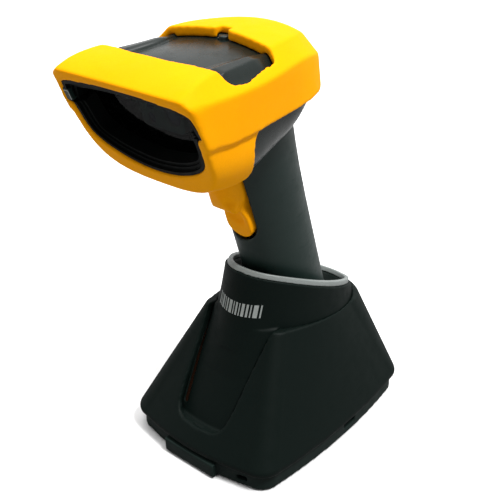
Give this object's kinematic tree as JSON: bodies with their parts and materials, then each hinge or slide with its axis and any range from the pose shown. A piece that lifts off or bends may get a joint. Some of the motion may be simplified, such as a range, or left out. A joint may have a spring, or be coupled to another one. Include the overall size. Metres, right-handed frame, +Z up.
{
  "type": "handheld barcode scanner in charging cradle",
  "caption": "Cordless pistol-grip barcode scanner with a yellow protective boot and a finger trigger, standing nose-forward in a sloped desktop charging cradle.",
  "frame": {"origin": "centre of the rubber mat's underside, on the desk, under the middle of the cradle's footprint", "axes": "+Z up, -Y the way the scanner looks, +X on the right as seen from in front"},
  "size_m": [0.0936, 0.1438, 0.1995],
  "materials": {
    "boot_rubber": "soft matt moulded elastomer, warm yellow",
    "trigger_plastic": "fine satin moulded plastic, warm yellow",
    "scanner_plastic": "fine spark-textured moulded plastic, dark slate",
    "cradle_plastic": "fine spark-textured moulded plastic, near black green",
    "base_plastic": "matt moulded plastic, dark grey",
    "ring_plastic": "satin moulded plastic, light grey",
    "window_glass": "clear coated pane, dark behind",
    "lens_glass": "coated optical glass",
    "smoked_plastic": "translucent smoked light pipe",
    "light_pipe": "clear light pipe",
    "black_rubber": "matt black elastomer",
    "engine_plastic": "glass-filled plastic, dark grey",
    "board_green": "solder-masked circuit board",
    "cell_wrap": "shrink-wrapped cell",
    "gold_contact": "gold-plated contact",
    "screw_steel": "zinc-plated steel",
    "spring_steel": "bright spring wire",
    "can_metal": "drawn tinned steel",
    "bracket_alu": "bare sheet aluminium",
    "ballast_steel": "plain mild steel plate",
    "black_plastic": "black moulded plastic",
    "cable_film": "amber polyimide film"
  },
  "bodies": {
    "cradle": {"cradle_shell": "cradle_plastic", "cradle_sleeve": "cradle_plastic", "cradle_light_pipes": "smoked_plastic", "trim_ring": "ring_plastic", "cradle_base": "base_plastic", "anti_slip_mat": "black_rubber", "base_screws": "screw_steel", "ballast_plate": "ballast_steel", "pin_springs": "spring_steel", "pin_block": "black_plastic", "pin_board": "board_green", "cradle_board": "board_green", "power_socket": "can_metal"},
    "scanner": {"protective_boot": "boot_rubber", "head_top_cover": "scanner_plastic", "head_bottom_cover": "scanner_plastic", "handle_shell": "scanner_plastic", "battery_door": "scanner_plastic", "door_screw": "screw_steel", "scanner_contacts": "gold_contact", "contact_board": "board_green", "battery_cell": "cell_wrap", "handle_board": "board_green", "ribbon_cable": "cable_film", "vibration_motor": "can_metal", "trigger_pin": "screw_steel", "trigger_spring": "spring_steel", "trigger_switch": "black_plastic", "exit_window": "window_glass", "window_gasket": "black_rubber", "imager_module": "engine_plastic", "imager_lens": "lens_glass", "light_lenses": "lens_glass", "engine_bracket": "bracket_alu", "engine_screws": "screw_steel", "head_board": "board_green", "radio_module": "can_metal", "beeper": "black_plastic", "status_light_pipe": "light_pipe", "head_screws": "screw_steel"},
    "trigger": {"trigger": "trigger_plastic"},
    "charging_pins": {"charging_pins": "gold_contact"}
  },
  "joints": [
    {"name": "scanner_lift", "type": "slide", "parent": "cradle", "child": "scanner", "axis": [0, -0.2974, 0.9548], "range_m": [0, 0.14]},
    {"name": "trigger_press", "type": "hinge", "parent": "scanner", "child": "trigger", "pos_m": [0, -0.01905, 0.14144], "axis": [1, 0, 0], "range_deg": [0, 5.5], "stiffness_Nm_per_rad": 0.4, "deforming": ["trigger_spring"]},
    {"name": "pin_press", "type": "slide", "parent": "cradle", "child": "charging_pins", "axis": [0, -0.2974, 0.9548], "range_m": [-0.001, 0], "stiffness_N_per_m": 800, "deforming": ["pin_springs"]}
  ]
}
